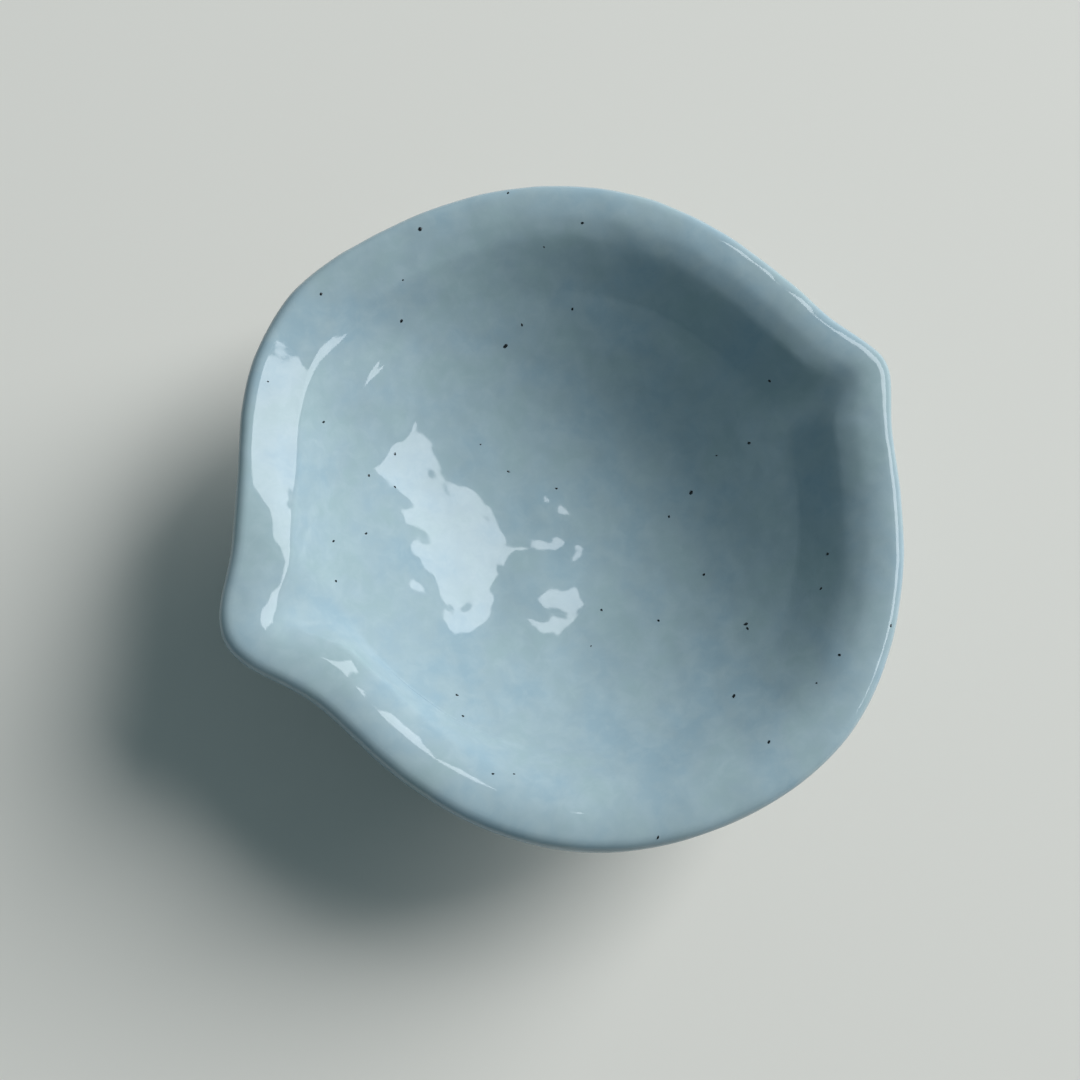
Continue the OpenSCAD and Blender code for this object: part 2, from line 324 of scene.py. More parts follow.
@dataclass(frozen=True)
class Section:
    """Curves of the clay's section and how thick the glaze lies on them."""

    rim_radius: float = 52.8
    rim_height: float = 31.0
    well_radius: float = 37.5
    crease_height: float = 23.7
    floor_height: float = 10.0
    floor_power: float = 2.05
    drift: float = 8.4
    drift_at: float = 18.5
    wall: float = 4.2
    belly: float = 6.4
    belly_share: float = 0.8
    lip_width: float = 8.6
    shoulder_drop: float = 1.9
    crown_in: float = 1.9
    edge_drop: float = 2.2
    flank_lift: float = 0.4
    wall_bend: Point = (0.5, 0.5)
    lip_bend: Point = (0.42, 1.0)
    under_share: float = 0.5
    under_bends: tuple[Point, Point] = ((0.0, 0.22), (0.6, 0.3))
    crease_corners: float = 0.16
    corner_fade: float = 0.6
    corner_power: float = 0.8
    foot_radius: float = 22.0
    foot_width: float = 4.2
    foot_height: float = 5.0
    foot_inset: float = 0.5
    slip_width: float = 2.6
    slip_run: float = 2.2
    coat: float = 0.5
    pool: float = 0.9
    crown_coat: float = 0.35
    glaze_line: float = 1.6
    nudge: float = 0.01
    # How much fuller than a quarter of an ellipse the lip's outer rounding is: 2 is none
    roll_fullness: float = 2.8

    @property
    def clay_floor(self) -> float:
        """Height of the clay in the middle of the well."""
        return self.floor_height - self.pool

    @property
    def crease(self) -> Point:
        """Where the round floor turns into the wall."""
        return self.well_radius, self.crease_height - self.pool

    @property
    def shoulder(self) -> Point:
        """Where the wall turns into the lip."""
        low = self.rim_height - self.shoulder_drop - self.crown_coat
        return self.rim_radius - self.lip_width, low

    @property
    def crown(self) -> Point:
        """Highest point of the lip's clay."""
        return self.rim_radius - self.crown_in, self.rim_height - self.crown_coat

    @property
    def edge(self) -> Point:
        """Outermost point of the lip's clay."""
        return self.rim_radius - self.coat, self.rim_height - self.edge_drop

    @property
    def seat(self) -> Point:
        """Edge of the bowl's flat underside, where the slip starts."""
        return self.foot_radius + self.slip_width, self.foot_height

    def floor_at(self, share: float) -> Point:
        """Point on the clay floor at a share of its radius."""
        rise = (self.crease_height - self.floor_height) * share**self.floor_power
        return self.well_radius * share, self.clay_floor + rise

    def wall_at(self, share: float) -> Point:
        """Point on the clay wall at a share of its curve."""
        turn = between(self.crease, self.shoulder, *self.wall_bend)
        return bend((self.crease, turn, self.shoulder), share)

    def lip_at(self, share: float) -> Point:
        """Point on the inner half of the lip's clay at a share of its curve."""
        turn = between(self.shoulder, self.crown, *self.lip_bend)
        return bend((self.shoulder, turn, self.crown), share)

    def lip_flank(self, share: float) -> float:
        """How far a straight slope to the raised crown lies over the lip's curve."""
        radius, height = self.lip_at(share)
        across = (radius - self.shoulder[0]) / (self.crown[0] - self.shoulder[0])
        return mix(self.shoulder[1], self.crown[1] + self.flank_lift, across) - height

    def roll_at(self, share: float) -> Point:
        """Point on the rounding from the crown out to the edge."""
        turn = math.radians(90.0 * share)
        power = 2.0 / self.roll_fullness
        across = math.sin(turn) ** power
        down = 1.0 - max(0.0, math.cos(turn)) ** power
        return between(self.crown, self.edge, across, down)

    def wall_corners(self, share: float) -> float:
        """How much of the corners the wall has at a share of its curve."""
        return mix(self.crease_corners, 1.0, share**self.corner_power)

    @property
    def under_end(self) -> Point:
        """Where the lip's underside runs into the belly."""
        before = self.wall_at(self.under_share - self.nudge)
        after = self.wall_at(self.under_share + self.nudge)
        side = side_of(before, after)
        radius, height = self.wall_at(self.under_share)
        return radius - self.wall * side[0], height - self.wall * side[1]

    def under_at(self, share: float) -> Point:
        """Point on the lip's underside."""
        turns = [between(self.edge, self.under_end, *b) for b in self.under_bends]
        return bend((self.edge, *turns, self.under_end), share)

    def belly_at(self, share: float) -> Point:
        """Point on the outside between the lip's underside and the slip."""
        inner = self.floor_at(self.belly_share)
        side = side_of(self.floor_at(self.belly_share - self.nudge), inner)
        middle = [inner[k] - self.belly * side[k] for k in (0, 1)]
        turn = [2.0 * middle[k] - (self.under_end[k] + self.seat[k]) / 2.0 for k in (0, 1)]
        return bend((self.under_end, (turn[0], turn[1]), self.seat), share)

    def foot_side(self, height: float, inner: bool = False) -> float:
        """Radius of the foot ring's outer or inner side at a height."""
        inset = self.foot_inset * (1.0 - height / self.foot_height)
        if inner:
            return self.foot_radius - self.foot_width + inset
        return self.foot_radius - inset

    def slip_at(self, share: float, inner: bool = False) -> Point:
        """Point on the slip's hollow fillet, from the bowl down to the foot ring."""
        start = self.seat[0]
        if inner:
            start = self.foot_radius - self.foot_width - self.slip_width
        middle = self.foot_height - self.slip_run / 2.0
        low = self.foot_height - self.slip_run
        points = (
            (start, self.foot_height),
            (self.foot_side(self.foot_height, inner), middle),
            (self.foot_side(low, inner), low),
        )
        return bend(points, share)

    def foot_at(self, share: float, inner: bool = False) -> Point:
        """Point on the glazed part of the foot ring's side, from the slip down."""
        height = mix(self.foot_height - self.slip_run, self.glaze_line, share)
        return self.foot_side(height, inner), height


@dataclass(frozen=True)
class Mark:
    """A soft lump that pinching left, or a dent that a fingertip pressed."""

    x: float
    y: float
    radius: float
    rise: float

    def lift(self, place: Vector) -> float:
        """How far it lifts a place of the surface, in millimetres."""
        away = ((place.x - self.x) ** 2 + (place.y - self.y) ** 2) / self.radius**2
        return self.rise * math.exp(-away)


@dataclass(frozen=True)
class Unevenness:
    """Lumps and dents of a hand-formed surface, and slow waves of the glaze on it."""

    # Size of the waves, and how far they lift the surface
    waves: tuple[Point, ...] = ((21.0, 0.14), (9.0, 0.05), (3.6, 0.011))
    # The same on the upper side, where the glaze levelled itself over the pats of fingertips
    pats: tuple[Point, ...] = ((21.0, 0.02), (5.0, 0.09), (2.4, 0.035))
    steep: float = 0.1
    level: float = 0.45
    # The wall behind the well, which mirrors the window's left side
    wall_push: Mark = Mark(-35.0, 5.0, 11.0, 0.75)
    # Both sides of the well's far edge
    thumb: Mark = Mark(-20.0, 16.0, 8.0, -0.45)
    heel: Mark = Mark(-21.0, 31.0, 7.0, 0.5)
    # The lump by the well's low point that breaks the window in two, and what lies round it
    pucker: Mark = Mark(-7.0, -8.0, 7.0, 0.8)
    near_dent: Mark = Mark(-5.0, -21.0, 6.0, -0.4)
    nail: Mark = Mark(-13.0, -4.0, 3.0, -0.15)
    grit: Mark = Mark(-1.0, 4.0, 4.0, 0.3)
    # The lip on the window's far side, thick where it was folded over
    fold: Mark = Mark(-47.0, 27.0, 9.0, 0.6)
    fold_end: Mark = Mark(-39.0, 38.0, 7.0, 0.5)
    fold_root: Mark = Mark(-42.0, 14.0, 6.0, 0.4)
    press: Mark = Mark(-34.0, 18.0, 6.0, -0.3)
    # The lip between the back corner and the near side
    corner_dent: Mark = Mark(-42.0, -5.0, 6.0, -0.25)
    corner_lump: Mark = Mark(-40.0, -20.0, 6.0, 0.6)
    near_lump: Mark = Mark(-34.0, -30.0, 9.0, 0.8)
    near_end: Mark = Mark(-23.0, -41.0, 9.0, 0.7)
    # The lip on the window's side
    right_lump: Mark = Mark(52.0, -15.0, 11.0, 0.8)
    right_dent: Mark = Mark(42.0, -9.0, 8.0, -0.3)
    right_wall: Mark = Mark(30.0, -7.0, 9.0, 0.5)
    right_turn: Mark = Mark(44.0, -28.0, 12.0, 0.7)

    @cached_property
    def marks(self) -> tuple[Mark, ...]:
        """All lumps and dents."""
        return tuple(value for value in vars(self).values() if isinstance(value, Mark))

    def upward(self, normal: Vector) -> float:
        """How far a surface counts as an upper side, from 0 to 1."""
        share = min(max((normal.z - self.steep) / (self.level - self.steep), 0.0), 1.0)
        return share * share * (3.0 - 2.0 * share)

    @staticmethod
    def wave(place: Vector, layers: Sequence[Point]) -> float:
        """How far layers of noise lift a place, in millimetres."""
        return sum(
            height * noise.noise(place / size + Vector((size, -size, 2.0 * size)))
            for size, height in layers
        )

    def shift(self, place: Vector, normal: Vector) -> Vector:
        """How far a place of the surface moves.

        Args:
            place: Place on the surface, in millimetres.
            normal: The surface's normal there.

        Returns:
            The way that it moves, in millimetres.
        """
        up = self.upward(normal)
        moved = Vector()
        if up < 1.0:
            moved += normal * self.wave(place, self.waves) * (1.0 - up)
        if up > 0.0:
            moved += normal * self.wave(place, self.pats) * up
            moved.z += up * sum(mark.lift(place) for mark in self.marks)
        return moved


@dataclass(frozen=True)
class Tint:
    """A colour laid over another, from none where a value is start to its most where it is end."""

    colour: str
    start: float
    end: float
    most: float

    def over(self, tree: NodeTree, ground: NodeSocket, value: NodeSocket) -> NodeSocket:
        """Lays the tint over a colour.

        Args:
            tree: Node tree of the material.
            ground: The colour under it.
            value: What says how much of it lies where.

        Returns:
            The mixed colour.
        """
        share = add_node(
            tree,
            "MapRange",
            values={"From Min": self.start, "From Max": self.end, "To Max": self.most},
            links={"Value": value},
        ).outputs["Result"]
        return add_node(
            tree,
            "Mix",
            {"data_type": "RGBA"},
            {MIX_SECOND: linear(self.colour)},
            {MIX_SHARE: share, MIX_FIRST: ground},
        ).outputs[MIX_RESULT]


@dataclass(frozen=True)
class Finish:
    """A finish: its name, its gloss, and the nodes that give its colour and its relief."""

    name: str
    roughness: float = 0.5
    ior: float = 1.5
    relief_height: float = 0.0

    def look(self, tree: NodeTree, place: NodeSocket) -> tuple[NodeSocket, NodeSocket | None]:
        """Adds the nodes of its colour and its relief.

        Args:
            tree: Node tree of the material.
            place: Object coordinates.

        Returns:
            Its colour, and its relief where it has one.
        """
        raise NotImplementedError

    def material(self) -> Material:
        """Makes the material.

        Returns:
            The new material.
        """
        made = bpy.data.materials.new(self.name)
        tree = emptied_tree(made)
        place = add_node(tree, "TexCoord").outputs["Object"]
        colour, relief = self.look(tree, place)
        links = {"Base Color": colour}
        if relief is not None:
            links["Normal"] = add_node(
                tree,
                "Bump",
                values={"Strength": 1.0, "Distance": self.relief_height * MM},
                links={"Height": relief},
            ).outputs["Normal"]
        gloss = {"Roughness": self.roughness, "IOR": self.ior}
        shader = add_node(tree, "BsdfPrincipled", values=gloss, links=links).outputs["BSDF"]
        add_node(tree, "OutputMaterial", links={"Surface": shader})
        return made


@dataclass(frozen=True)
class FiredGlaze(Finish):
    """Glossy feldspar glaze over stoneware, fired in reduction.

    The eye sees a milky pale blue-grey glass with a wet gloss, clouds of a greener and a bluer
    tone some millimetres wide, and a slightly thinner, greyer line where it drew off an edge.
    """

    roughness: float = 0.05
    ior: float = 1.52
    relief_height: float = 0.009
    blue: str = "#8EA6B2"
    middle: str = "#94A9B2"
    green: str = "#93A9AF"
    milk: Tint = Tint("#A2B5BC", 0.42, 0.78, 0.55)
    pooled: Tint = Tint("#849CA4", 0.4, 0.0, 0.2)
    thin: Tint = Tint("#9DB1B5", 0.5, 1.0, 0.7)
    cloud: float = 9.0
    curdle: float = 2.6
    ripple: float = 2.4

    def look(self, tree: NodeTree, place: NodeSocket) -> tuple[NodeSocket, NodeSocket | None]:
        """Adds the clouds, the milk, the tints of thin and thick glaze, and the ripple.

        Args:
            tree: Node tree of the material.
            place: Object coordinates.

        Returns:
            Its colour, and its relief where it has one.
        """
        clouds, curds, waves = (
            add_node(
                tree,
                "TexNoise",
                values={
                    "Scale": pattern_scale(size),
                    "Detail": detail,
                    "Roughness": rough,
                    "Distortion": twist,
                },
                links={"Vector": place},
            ).outputs["Fac"]
            for size, detail, rough, twist in (
                (self.cloud, 3.0, 0.55, 0.0),
                (self.curdle, 4.0, 0.6, 0.4),
                (self.ripple, 1.0, 0.4, 0.0),
            )
        )
        thinness = add_node(tree, "Attribute", {"attribute_name": "thinness"}).outputs["Fac"]
        colour = add_node(
            tree,
            "ValToRGB",
            links={"Fac": clouds},
            stops=((0.36, self.blue), (0.5, self.middle), (0.64, self.green)),
        ).outputs["Color"]
        colour = self.milk.over(tree, colour, curds)
        for tint in (self.pooled, self.thin):
            colour = tint.over(tree, colour, thinness)
        return colour, waves


@dataclass(frozen=True)
class Stoneware(Finish):
    """Coarse stoneware, bisque-fired and bare or hidden under the glaze.

    The eye sees a dry, matt, sandy grey-brown with darker and lighter grog, toasted to orange
    next to the glaze line.
    """

    roughness: float = 0.86
    relief_height: float = 0.05
    dark: str = "#7C664C"
    middle: str = "#9A8468"
    light: str = "#B3A084"
    toasted: str = "#A3734A"
    grog: float = 0.9
    grog_edge: float = 0.35
    grog_share: float = 0.5
    cloud: float = 6.0
    grit: float = 0.5
    # Heights between which the toasting grows, and how far it goes
    toast_from: float = 0.7
    toast_to: float = 1.7
    toast_share: float = 0.75

    def look(self, tree: NodeTree, place: NodeSocket) -> tuple[NodeSocket, NodeSocket | None]:
        """Adds the sandy clouds, the grog, the toasting and the grit.

        Args:
            tree: Node tree of the material.
            place: Object coordinates.

        Returns:
            Its colour, and its relief where it has one.
        """
        clouds = add_node(
            tree,
            "TexNoise",
            values={"Scale": pattern_scale(self.cloud), "Detail": 4.0},
            links={"Vector": place},
        ).outputs["Fac"]
        ground = add_node(
            tree,
            "ValToRGB",
            links={"Fac": clouds},
            stops=((0.35, self.dark), (0.5, self.middle), (0.66, self.light)),
        ).outputs["Color"]
        grains = add_node(
            tree,
            "TexVoronoi",
            values={"Scale": pattern_scale(self.grog), "Randomness": 1.0},
            links={"Vector": place},
        ).outputs["Distance"]
        grog = Tint(self.dark, self.grog_edge, 0.0, self.grog_share)
        sandy = grog.over(tree, ground, grains)
        height = add_node(tree, "SeparateXYZ", links={"Vector": place}).outputs["Z"]
        low, high = self.toast_from * MM, self.toast_to * MM
        toast = Tint(self.toasted, low, high, self.toast_share)
        colour = toast.over(tree, sandy, height)
        grit = add_node(
            tree,
            "TexNoise",
            values={"Scale": pattern_scale(self.grit), "Detail": 5.0, "Roughness": 0.65},
            links={"Vector": place},
        ).outputs["Fac"]
        return colour, grit


@dataclass(frozen=True)
class MeltedIron(Finish):
    """Iron grains of the clay that melted through the glaze.

    The eye sees crisp blue-black dots as glossy as the glaze round them.
    """

    name: str = "melted_iron"
    roughness: float = 0.16
    ior: float = 1.6
    dark: str = "#0B151B"
    rusty: str = "#20211F"
    spot: float = 0.3

    def look(self, tree: NodeTree, place: NodeSocket) -> tuple[NodeSocket, NodeSocket | None]:
        """Adds the rusty spots.

        Args:
            tree: Node tree of the material.
            place: Object coordinates.

        Returns:
            Its colour, and its relief where it has one.
        """
        spots = add_node(
            tree,
            "TexNoise",
            values={"Scale": pattern_scale(self.spot), "Detail": 2.0},
            links={"Vector": place},
        ).outputs["Fac"]
        colour = add_node(
            tree,
            "ValToRGB",
            links={"Fac": spots},
            stops=((0.45, self.dark), (0.7, self.rusty)),
        ).outputs["Color"]
        return colour, None


def finish_piece(
    bm: BMesh,
    name: str,
    slot: Slot,
    material: Material,
    stands_for: str | None = None,
    normals: str | None = None,
) -> Object:
    """Makes a piece of a bmesh, dresses it and lets it ride on the dish.

    Args:
        bm: Mesh of the piece, which is freed.
        name: Name of the piece.
        slot: Material slot of the record that it stands for, named in the log.
        material: Its material.
        stands_for: CAD node that it replaces.
        normals: Name of the vertex layer that holds its normals.

    Returns:
        The new object.
    """
    piece = add_mesh(bm, name, material)
    mesh = piece.data
    for face in mesh.polygons:
        face.use_smooth = True
    if normals is not None:
        rows = [row.vector[:] for row in mesh.attributes[normals].data]
        mesh.normals_split_custom_set_from_vertices(rows)
        mesh.attributes.remove(mesh.attributes[normals])
    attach(piece, "root")
    if stands_for is not None:
        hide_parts(stands_for)
    log.info("%s: %d faces, slot %s", name, len(mesh.polygons), slot.value)
    return piece


@dataclass
class GlazeCoats:
    """The two coats of glaze that meet on the lip's crown: poured inside, dipped outside."""

    section: Section = field(default_factory=Section)
    rim: Rim = field(default_factory=Rim)
    unevenness: Unevenness = field(default_factory=Unevenness)
    steps: int = 400
    crowding: float = 14.0
    grain: float = 0.5
    clay_grain: float = 3.0
    bead: float = 0.55
    bead_grain: float = 0.08
    tries: int = 128
    fewest: int = 3
    foot_rings: int = 4
    bead_margin: int = 3
    soft_passes: int = 14
    crown_passes: int = 1
    # The foot's sides under this height stay as even as they were turned
    even_below: float = 3.0
    surface: BVHTree | None = None

    def stretch(
        self,
        curve: Share[Point],
        coat: Share[float],
        corners: Share[float] = nothing,
        flank: Share[float] = nothing,
        drift: Share[float] = nothing,
    ) -> list[Station]:
        """Stations along one curve of the section, one grain apart, without its start.

        Args:
            curve: Point on the clay at a share of the curve.
            coat: How thick the glaze is there.
            corners: How much of the corners it has there.
            flank: How much higher it lies there where the lip is pressed flat.
            drift: How much of the well's drift it has there.

        Returns:
            The stations.
        """
        tries = [curve(k / self.tries) for k in range(self.tries + 1)]
        lengths = [0.0]
        for start, end in zip(tries, tries[1:]):
            lengths.append(lengths[-1] + math.dist(start, end))
        count = max(self.fewest, round(lengths[-1] / self.grain))
        shares = []
        for k in range(1, count + 1):
            way = lengths[-1] * k / count
            right = min(bisect.bisect_left(lengths, way), self.tries)
            left = right - 1
            part = (way - lengths[left]) / (lengths[right] - lengths[left])
            shares.append((left + part) / self.tries)
        return [Station(*curve(s), corners(s), flank(s), drift(s), coat(s)) for s in shares]

    def stations(self) -> tuple[list[Station], int]:
        """Stations on the clay from the middle of the well to the glaze line under the bowl.

        Returns:
            The stations, and the number of the one on the crown.
        """
        cut = self.section
        fade = cut.corner_fade
        lift = cut.flank_lift
        end = cut.wall_corners(cut.under_share)
        middle = Station(0.0, cut.clay_floor, 0.0, 0.0, 1.0, cut.pool)
        floor = self.stretch(
            cut.floor_at,
            coat=lambda s: mix(cut.pool, cut.coat, s * s),
            corners=lambda s: cut.crease_corners * max(0.0, (s - fade) / (1.0 - fade)),
            drift=lambda s: (1.0 - s * s) ** 2,
        )
        wall = self.stretch(cut.wall_at, coat=lambda s: cut.coat, corners=cut.wall_corners)
        lip = self.stretch(
            cut.lip_at,
            coat=lambda s: mix(cut.coat, cut.crown_coat, s),
            corners=lambda s: 1.0,
            flank=cut.lip_flank,
        )
        roll = self.stretch(
            cut.roll_at,
            coat=lambda s: mix(cut.crown_coat, cut.coat, s),
            corners=lambda s: 1.0,
            flank=lambda s: lift,
        )
        under = self.stretch(
            cut.under_at,
            coat=lambda s: cut.coat,
            corners=lambda s: mix(1.0, end, s),
            flank=lambda s: mix(lift, 0.0, s),
        )
        belly = self.stretch(
            cut.belly_at,
            coat=lambda s: cut.coat,
            corners=lambda s: end * (1.0 - s) ** 2,
        )
        inside = [middle, *floor, *wall, *lip]
        outside = [*roll, *under, *belly, *self.foot_stations()]
        return inside + outside, len(inside) - 1

    def foot_stations(self, inner: bool = False) -> list[Station]:
        """Stations over the slip and down one side of the foot ring, with a rolled end.

        Args:
            inner: True for the side inside the foot ring.

        Returns:
            The stations.
        """
        cut = self.section
        slip = self.stretch(lambda s: cut.slip_at(s, inner), coat=lambda s: cut.coat)
        height = cut.foot_height - cut.slip_run - cut.glaze_line
        count = round(self.bead / self.bead_grain)
        side = 1.0 - self.bead / height
        down = [(k + 1) / self.foot_rings * side for k in range(self.foot_rings)]
        ends = [1.0 - self.bead / height * (1.0 - (k + 1) / count) for k in range(count)]
        rows = []
        for share in [*down, *ends]:
            left = (1.0 - share) * height / self.bead
            round_off = math.sqrt(max(0.0, 1.0 - (1.0 - min(left, 1.0)) ** 2))
            point = cut.foot_at(share, inner)
            rows.append(Station(*point, 0.0, 0.0, 0.0, cut.coat * round_off))
        return [*slip, *rows]

    @staticmethod
    def coated(path: Sequence[Station], way: float = 1.0) -> list[Station]:
        """The path moved off the clay by its glaze, to its left or, with a way of -1, right."""
        rows = []
        for k, here in enumerate(path):
            before, after = path[max(k - 1, 0)], path[min(k + 1, len(path) - 1)]
            side = side_of((before.radius, before.height), (after.radius, after.height))
            if k == 0:
                side = (0.0, 1.0)
            radius = here.radius + way * side[0] * here.coat
            height = here.height + way * side[1] * here.coat
            rows.append(replace(here, radius=radius, height=height))
        return rows

    def drawn_section(self) -> tuple[BMesh, int]:
        """Draws both coats' section as one wire: the glaze's skin, then back along the clay.

        Returns:
            The bmesh with its layers, and the number of the station on the crown.
        """
        path, crown = self.stations()
        skin = self.coated(path)
        bm = bmesh.new()
        layers = {name: bm.verts.layers.float.new(name) for name in (*CARRIED, "thinness")}
        stride = round(self.clay_grain / self.grain)
        picked = sorted({*range(0, len(path) - 1, stride), crown}, reverse=True)
        rows = [(k, skin[k], 1.0) for k in range(len(skin))]
        rows += [(k, path[k], 0.0) for k in picked]
        verts = []
        for way, station, on_skin in rows:
            vert = bm.verts.new((station.radius * MM, 0.0, station.height * MM))
            vert[layers["corners"]] = station.corners
            vert[layers["flank"]] = station.flank
            vert[layers["drift"]] = station.drift
            vert[layers["way"]] = float(way)
            vert[layers["skin"]] = on_skin
            vert[layers["thinness"]] = 1.0 - station.coat / self.section.pool
            verts.append(vert)
        for start, end in zip(verts, verts[1:]):
            bm.edges.new((start, end))
        self.soften(bm, verts, crown, len(skin))
        return bm, crown

    def soften(self, bm: BMesh, verts: Sequence[BMVert], crown: int, count: int) -> None:
        """Draws the skin smooth where the wet clay and the glaze have no hard turns.

        Args:
            bm: Mesh that holds the section.
            verts: Its vertices, the skin's first.
            crown: Number of the vertex on the crown.
            count: How many of the vertices are the skin's.
        """
        lip = round(self.section.lip_width / self.grain)
        bead = round(self.bead / self.bead_grain) + self.bead_margin
        zones = (
            (verts[1 : crown - lip // 2], self.soft_passes),
            (verts[crown - lip // 2 : crown + lip], self.crown_passes),
            (verts[crown + lip : count - bead], self.soft_passes),
        )
        for zone, passes in zones:
            smooth(bm, zone, passes)

    def pinch(self, bm: BMesh) -> None:
        """Carries every ring out to the rim's swells and its two pinched corners.

        Args:
            bm: Mesh of both coats, still round.
        """
        corners, flank, drift = (bm.verts.layers.float[name] for name in CARRIED[:3])
        rim, radius = self.rim, self.rim.radius
        side = math.radians(self.section.drift_at)
        off = Vector((math.cos(side), math.sin(side), 0.0)) * self.section.drift * MM
        turns = []
        for step in range(self.steps):
            angle = TURN * step / self.steps
            angle -= self.crowding * math.sin(math.radians(2.0 * angle))
            turns.append(
                (
                    math.radians(angle),
                    rim.edge(angle, rim.gutter_widening) - radius,
                    rim.edge(angle) - radius,
                    rim.lean(angle),
                    rim.rise(angle),
                    rim.flank(angle),
                )
            )
        for vert in bm.verts:
            mean = vert.co.xy.length / MM
            around = math.degrees(math.atan2(vert.co.y, vert.co.x)) % TURN
            step = round(around / TURN * self.steps) % self.steps
            angle, gutter, grow, lean, rise, pressed = turns[step]
            share = vert[corners]
            out = mix(gutter, grow, share) - (radius - mean) * lean * share
            reach = (mean + share * out) * MM
            lift = (share * rise + vert[flank] * pressed) * MM
            place = (reach * math.cos(angle), reach * math.sin(angle), vert.co.z + lift)
            vert.co = Vector(place) + vert[drift] * off

    def ripple(self, bm: BMesh) -> None:
        """Moves the skin in and out by the unevenness of hand and kiln.

        Args:
            bm: Mesh of both coats.
        """
        skin = bm.verts.layers.float["skin"]
        bm.normal_update()
        moved = [v for v in bm.verts if v[skin] and v.co.z > self.even_below * MM]
        shifts = [self.unevenness.shift(v.co / MM, v.normal) * MM for v in moved]
        for vert, shift in zip(moved, shifts):
            vert.co += shift

    def half(self, whole: BMesh, crown: int, inside: bool) -> BMesh:
        """One of the two coats, closed where it meets the other on the crown.

        Args:
            whole: Mesh of both coats.
            crown: Number of the station on the crown.
            inside: True for the coat inside the bowl.

        Returns:
            A new bmesh with that coat only.
        """
        bm = whole.copy()
        way = bm.verts.layers.float["way"]
        if inside:
            spare = [f for f in bm.faces if max(v[way] for v in f.verts) > crown]
        else:
            spare = [f for f in bm.faces if min(v[way] for v in f.verts) < crown]
        bmesh.ops.delete(bm, geom=spare, context="FACES")
        rims = [e for e in bm.edges if e.is_boundary]
        bmesh.ops.bridge_loops(bm, edges=rims)
        bmesh.ops.recalc_face_normals(bm, faces=bm.faces[:])
        for name in CARRIED:
            bm.verts.layers.float.remove(bm.verts.layers.float[name])
        return bm

    def build(self, inside: FiredGlaze, outside: FiredGlaze) -> list[Object]:
        """Makes both coats.

        Args:
            inside: Finish of the coat inside the bowl.
            outside: Finish of the coat outside.

        Returns:
            The two pieces.
        """
        whole, crown = self.drawn_section()
        turn_round(whole, self.steps)
        self.pinch(whole)
        self.ripple(whole)
        whole.normal_update()
        kept = whole.verts.layers.float_vector.new("skin_normal")
        for vert in whole.verts:
            vert[kept] = vert.normal
        self.surface = BVHTree.FromBMesh(whole)
        pieces = [
            finish_piece(
                self.half(whole, crown, slot is Slot.INSIDE),
                name,
                slot,
                finish.material(),
                node,
                "skin_normal",
            )
            for name, slot, finish, node in (
                ("poured_liner_coat", Slot.INSIDE, inside, "liner_glaze"),
                ("dipped_outer_coat", Slot.OUTSIDE, outside, "outer_glaze"),
            )
        ]
        whole.free()
        return pieces


@dataclass
class FootCoat:
    """The coat under the bowl, inside the foot ring."""

    coats: GlazeCoats
    steps: int = 240
    thinness: float = 0.4
    # Stations at its rolled end that aren't drawn smooth
    kept: int = 12
    clay_stride: int = 4

    def build(self, finish: FiredGlaze) -> Object:
        """Makes the coat.

        Args:
            finish: Its finish.

        Returns:
            The piece.
        """
        cut = self.coats.section
        slip_edge = cut.foot_radius - cut.foot_width - cut.slip_width
        flat = self.coats.stretch(
            curve=lambda s: (slip_edge * s, cut.foot_height), coat=lambda s: cut.coat
        )
        middle = Station(0.0, cut.foot_height, 0.0, 0.0, 0.0, cut.coat)
        path = [middle, *flat, *self.coats.foot_stations(inner=True)]
        bm = bmesh.new()
        thinness = bm.verts.layers.float.new("thinness")
        clay = path[: -1 : self.clay_stride]
        rows = [*self.coats.coated(path, way=-1.0), *reversed(clay)]
        verts = [bm.verts.new((p.radius * MM, 0.0, p.height * MM)) for p in rows]
        for vert in verts:
            vert[thinness] = self.thinness
        for start, end in zip(verts, verts[1:]):
            bm.edges.new((start, end))
        smooth(bm, verts[1 : len(path) - self.kept], self.coats.soft_passes)
        turn_round(bm, self.steps)
        return finish_piece(bm, "foot_recess_coat", Slot.BASE, finish.material(), "base_glaze")


@dataclass(frozen=True)
class Viewpoint:
    """Where the photograph was taken from."""

    place: tuple[float, float, float] = (-32.6, -37.3, 205.0)
    # How a camera that looks straight down is turned, about X, then about Y, then about Z
    pitch: float = 13.177
    lean: float = -3.4
    heading: float = -23.404
    focal_pixels: float = 1200.0
    middle_pixel: float = 540.0
    sensor: float = 36.0
    # Nearest thing that it sees, in metres
    nearest: float = 0.01

    @property
    def turn(self) -> Matrix:
        """The camera's turn from looking straight down."""
        angles = (self.pitch, self.lean, self.heading)
        return Euler([math.radians(angle) for angle in angles]).to_matrix()

    def sight(self, column: float, row: float) -> tuple[Vector, Vector]:
        """Line of sight through a pixel of the photograph.

        Args:
            column: The pixel's place to the right.
            row: The pixel's place down.

        Returns:
            Its start and its direction.
        """
        across = (column - self.middle_pixel) / self.focal_pixels
        down = (row - self.middle_pixel) / self.focal_pixels
        way = self.turn @ Vector((across, -down, -1.0))
        return Vector(self.place) * MM, way.normalized()

    def build(self) -> Object:
        """Makes the camera.

        Returns:
            The camera, which is the scene's.
        """
        data = bpy.data.cameras.new("camera")
        data.sensor_width = self.sensor
        data.lens = self.focal_pixels / (2.0 * self.middle_pixel) * self.sensor
        data.clip_start = self.nearest
        camera = add_object("camera", data)
        place = Matrix.Translation(Vector(self.place) * MM)
        camera.matrix_world = place @ self.turn.to_4x4()
        bpy.context.scene.camera = camera
        return camera


